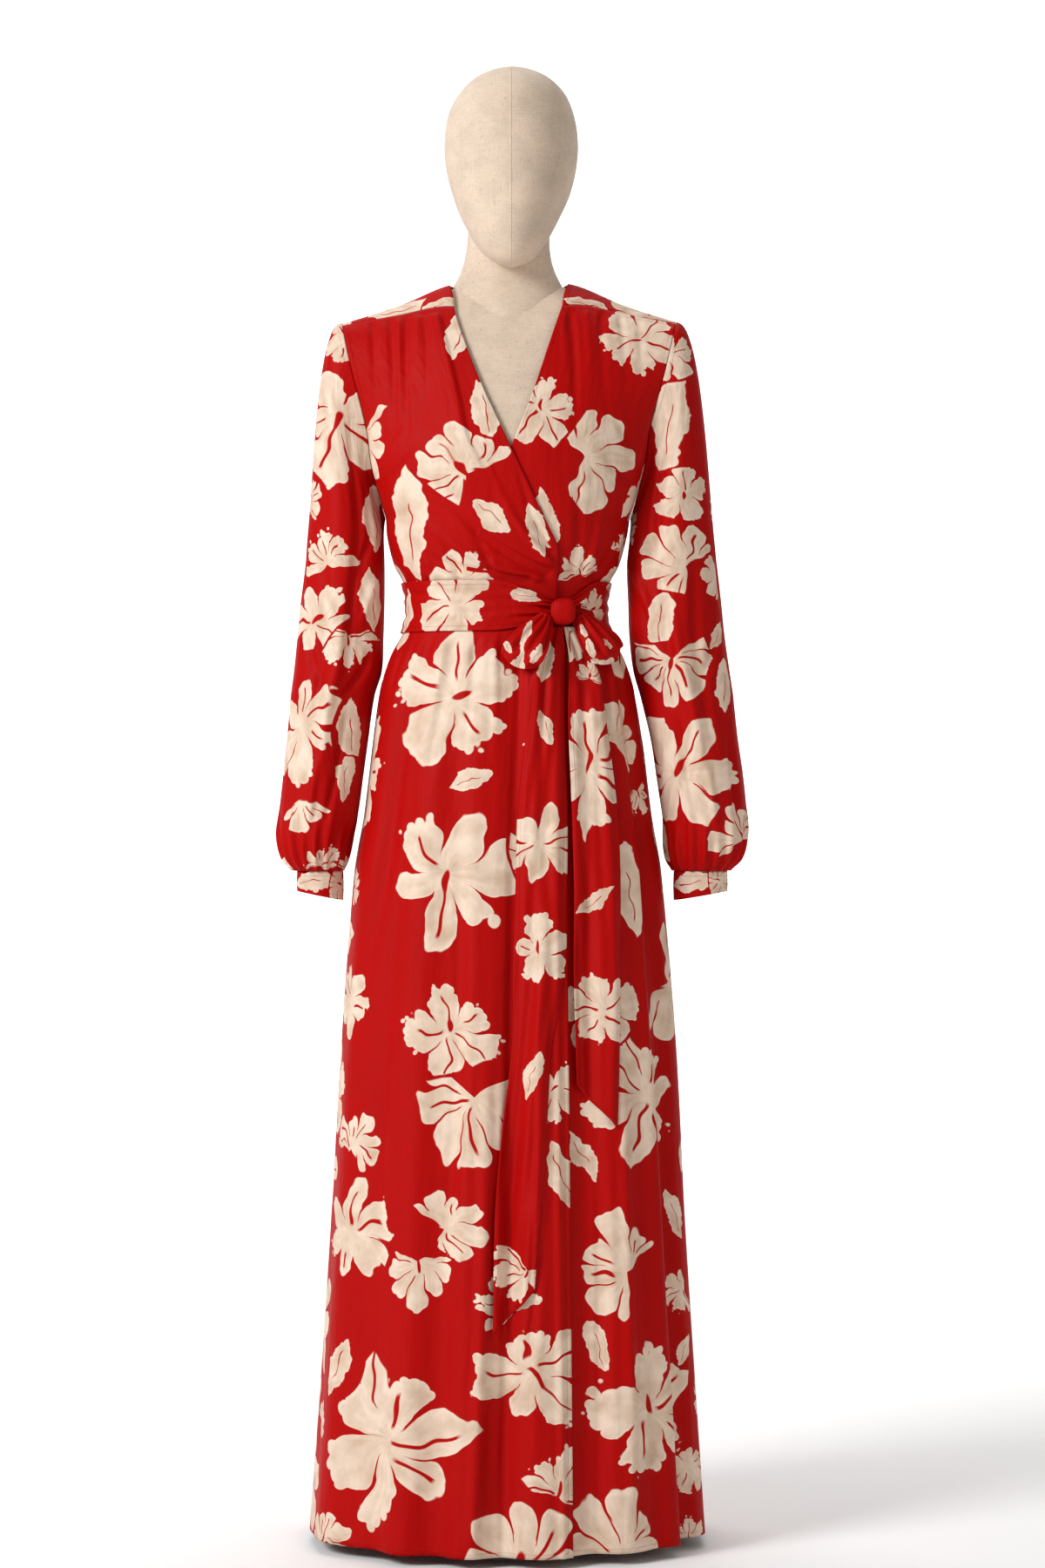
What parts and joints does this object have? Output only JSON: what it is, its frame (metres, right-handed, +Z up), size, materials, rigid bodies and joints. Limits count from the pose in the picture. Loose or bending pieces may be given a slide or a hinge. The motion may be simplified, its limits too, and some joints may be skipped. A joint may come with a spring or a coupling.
{
  "type": "kimono wrap dress on dress form",
  "caption": "Long wrap dress with kimono neckline, gathered balloon sleeves, cuffs and a tied sash, filled out on a limbless egg-head dress form on a pole and round base.",
  "frame": {"origin": "middle of the base's underside, on the floor", "axes": "+Z up along the pole, the dress's front faces -Y, the wearer's left is at +X"},
  "size_m": [0.5612, 0.3971, 1.754],
  "materials": {
    "printed_crepe": "matt crepe with a cream flower print on red",
    "linen": "matt plain weave",
    "grey_metal": "satin"
  },
  "bodies": {
    "root": {"yoke": "printed_crepe", "bodice_front_right": "printed_crepe", "bodice_front_left": "printed_crepe", "bodice_back": "printed_crepe", "sleeve_right": "printed_crepe", "sleeve_left": "printed_crepe", "cuff_right": "printed_crepe", "cuff_left": "printed_crepe", "skirt_front_right": "printed_crepe", "skirt_front_left": "printed_crepe", "skirt_back": "printed_crepe", "belt": "printed_crepe", "bow_knot": "printed_crepe", "bow_loop_right": "printed_crepe", "bow_loop_left": "printed_crepe", "tie_right": "printed_crepe", "tie_left": "printed_crepe", "form_body": "linen", "form_pole": "grey_metal", "form_base": "grey_metal"}
  },
  "joints": []
}
